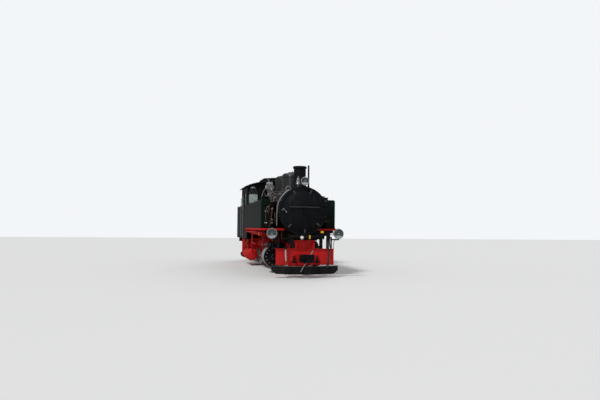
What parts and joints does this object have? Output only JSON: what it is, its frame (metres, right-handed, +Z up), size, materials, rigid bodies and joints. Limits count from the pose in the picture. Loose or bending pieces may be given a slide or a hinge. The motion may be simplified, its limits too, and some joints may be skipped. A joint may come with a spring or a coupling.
{
  "type": "narrow-gauge steam tank locomotive",
  "caption": "Steam tank locomotive for narrow-gauge track, with turning wheels, rods, pony trucks, opening smokebox and cab doors, filler lids and swinging couplers.",
  "frame": {"origin": "below the middle coupled axle, at the centre of the outline, level with the wheel flange tips", "axes": "+X towards the front of the locomotive, +Y to its left side, +Z up"},
  "size_m": [11.3, 2.65, 3.625],
  "materials": {
    "black_paint": "satin",
    "boiler_black": "satin",
    "smokebox_black": "matte",
    "red_paint": "satin",
    "red_wheels": "satin",
    "bright_steel": "brushed",
    "grey_metal": "satin",
    "roof_grey": "matte",
    "cab_fittings": "satin",
    "window_glass": "clear",
    "lamp_glass": "clear",
    "brake_hose_rubber": "matte",
    "heating_hose_rubber": "matte",
    "brass": "satin"
  },
  "bodies": {
    "root": {"main_frame": "red_paint", "axle_boxes": "red_paint", "buffer_beams": "red_paint", "ploughs": "black_paint", "cylinders": "black_paint", "slide_bars": "bright_steel", "valve_gear": "bright_steel", "brake_gear": "red_paint", "boiler": "boiler_black", "smokebox": "smokebox_black", "chimney": "smokebox_black", "domes": "boiler_black", "boiler_mountings": "brass", "bell": "grey_metal", "side_tanks": "black_paint", "running_boards": "red_paint", "cab_body": "black_paint", "cab_roof": "roof_grey", "cab_glass": "window_glass", "cab_interior": "cab_fittings", "coal_bunker": "black_paint", "bunker_tank": "black_paint", "pumps": "black_paint", "generator": "grey_metal", "air_reservoirs": "red_paint", "front_pipe_stand": "black_paint", "handrails": "grey_metal", "steps": "red_paint", "headlamps": "black_paint", "lamp_lenses": "lamp_glass", "pipework": "black_paint", "ash_pan": "black_paint", "hose_cocks": "black_paint", "brake_hose": "brake_hose_rubber", "heating_hose": "heating_hose_rubber", "hose_couplings": "brass"},
    "smokebox_door": {"smokebox_door": "smokebox_black"},
    "cab_door_left": {"cab_door_left": "black_paint", "door_glass_left": "window_glass"},
    "cab_door_right": {"cab_door_right": "black_paint", "door_glass_right": "window_glass"},
    "filler_lid_left": {"filler_lid_left": "black_paint"},
    "filler_lid_right": {"filler_lid_right": "black_paint"},
    "front_coupler": {"front_coupler": "black_paint"},
    "rear_coupler": {"rear_coupler": "black_paint"},
    "front_truck": {"front_truck": "red_paint"},
    "rear_truck": {"rear_truck": "red_paint"},
    "leading_wheelset": {"leading_wheelset": "red_wheels"},
    "trailing_wheelset": {"trailing_wheelset": "red_wheels"},
    "coupling_rods_left": {"coupling_rods_left": "bright_steel"},
    "coupling_rods_right": {"coupling_rods_right": "bright_steel"},
    "crosshead_left": {"crosshead_left": "bright_steel"},
    "crosshead_right": {"crosshead_right": "bright_steel"},
    "main_rod_left": {"main_rod_left": "bright_steel"},
    "main_rod_right": {"main_rod_right": "bright_steel"},
    "coupled_wheelset_1": {"coupled_wheelset_1": "red_wheels"},
    "coupled_wheelset_2": {"coupled_wheelset_2": "red_wheels"},
    "coupled_wheelset_3": {"coupled_wheelset_3": "red_wheels"},
    "coupled_wheelset_4": {"coupled_wheelset_4": "red_wheels"},
    "coupled_wheelset_5": {"coupled_wheelset_5": "red_wheels"}
  },
  "joints": [
    {"name": "coupled_axle_1", "type": "hinge", "parent": "root", "child": "coupled_wheelset_1", "pos_m": [2, 0, 0.425], "axis": [0, 1, 0], "continuous": true},
    {"name": "coupled_axle_2", "type": "hinge", "parent": "root", "child": "coupled_wheelset_2", "pos_m": [1, 0, 0.425], "axis": [0, 1, 0], "continuous": true},
    {"name": "coupled_axle_3", "type": "hinge", "parent": "root", "child": "coupled_wheelset_3", "pos_m": [0, 0, 0.425], "axis": [0, 1, 0], "continuous": true},
    {"name": "coupled_axle_4", "type": "hinge", "parent": "root", "child": "coupled_wheelset_4", "pos_m": [-1, 0, 0.425], "axis": [0, 1, 0], "continuous": true},
    {"name": "coupled_axle_5", "type": "hinge", "parent": "root", "child": "coupled_wheelset_5", "pos_m": [-2, 0, 0.425], "axis": [0, 1, 0], "continuous": true},
    {"name": "coupling_rods_left", "type": "hinge", "parent": "coupled_wheelset_3", "child": "coupling_rods_left", "pos_m": [0.2, 0.61, 0.425], "axis": [0, 1, 0], "continuous": true},
    {"name": "crosshead_left", "type": "slide", "parent": "root", "child": "crosshead_left", "axis": [1, 0, 0], "range_m": [-0.4005, 0.0004]},
    {"name": "main_rod_left", "type": "hinge", "parent": "crosshead_left", "child": "main_rod_left", "pos_m": [2.19509, 0.706, 0.565], "axis": [0, 1, 0], "range_deg": [-5.77, 5.73]},
    {"name": "coupling_rods_right", "type": "hinge", "parent": "coupled_wheelset_3", "child": "coupling_rods_right", "pos_m": [0, -0.61, 0.225], "axis": [0, 1, 0], "continuous": true},
    {"name": "crosshead_right", "type": "slide", "parent": "root", "child": "crosshead_right", "axis": [1, 0, 0], "range_m": [-0.1763, 0.2247]},
    {"name": "main_rod_right", "type": "hinge", "parent": "crosshead_right", "child": "main_rod_right", "pos_m": [1.97089, -0.706, 0.565], "axis": [0, 1, 0], "range_deg": [0, 11.51]},
    {"name": "front_truck_pivot", "type": "hinge", "parent": "root", "child": "front_truck", "pos_m": [2.65, 0, 0.355], "axis": [0, 0, 1], "range_deg": [-4, 4]},
    {"name": "leading_wheelset_axle", "type": "hinge", "parent": "front_truck", "child": "leading_wheelset", "pos_m": [3.8, 0, 0.3], "axis": [0, 1, 0], "continuous": true},
    {"name": "front_coupler_pivot", "type": "hinge", "parent": "root", "child": "front_coupler", "pos_m": [5.245, 0, 0.605], "axis": [0, 0, 1], "range_deg": [-10, 10]},
    {"name": "rear_truck_pivot", "type": "hinge", "parent": "root", "child": "rear_truck", "pos_m": [-2.65, 0, 0.355], "axis": [0, 0, 1], "range_deg": [-4, 4]},
    {"name": "trailing_wheelset_axle", "type": "hinge", "parent": "rear_truck", "child": "trailing_wheelset", "pos_m": [-3.8, 0, 0.3], "axis": [0, 1, 0], "continuous": true},
    {"name": "rear_coupler_pivot", "type": "hinge", "parent": "root", "child": "rear_coupler", "pos_m": [-5.245, 0, 0.605], "axis": [0, 0, 1], "range_deg": [-10, 10]},
    {"name": "smokebox_door_hinge", "type": "hinge", "parent": "root", "child": "smokebox_door", "pos_m": [4.91, 0.73, 2.085], "axis": [0, 0, 1], "range_deg": [0, 110]},
    {"name": "cab_door_left_hinge", "type": "hinge", "parent": "root", "child": "cab_door_left", "pos_m": [-2.099, 1.225, 1.375], "axis": [0, 0, 1], "range_deg": [0, 85]},
    {"name": "filler_lid_left_hinge", "type": "hinge", "parent": "root", "child": "filler_lid_left", "pos_m": [3, 1.02, 2.595], "axis": [0, -1, 0], "range_deg": [0, 100]},
    {"name": "cab_door_right_hinge", "type": "hinge", "parent": "root", "child": "cab_door_right", "pos_m": [-2.099, -1.225, 1.375], "axis": [0, 0, -1], "range_deg": [0, 85]},
    {"name": "filler_lid_right_hinge", "type": "hinge", "parent": "root", "child": "filler_lid_right", "pos_m": [3, -1.02, 2.595], "axis": [0, -1, 0], "range_deg": [0, 100]}
  ],
  "couplings": [
    {"joint": "coupled_axle_1", "follows": "coupled_axle_3", "ratio": 1},
    {"joint": "coupled_axle_2", "follows": "coupled_axle_3", "ratio": 1},
    {"joint": "coupled_axle_4", "follows": "coupled_axle_3", "ratio": 1},
    {"joint": "coupled_axle_5", "follows": "coupled_axle_3", "ratio": 1},
    {"joint": "coupling_rods_left", "follows": "coupled_axle_3", "ratio": -1},
    {"joint": "coupling_rods_right", "follows": "coupled_axle_3", "ratio": -1}
  ]
}
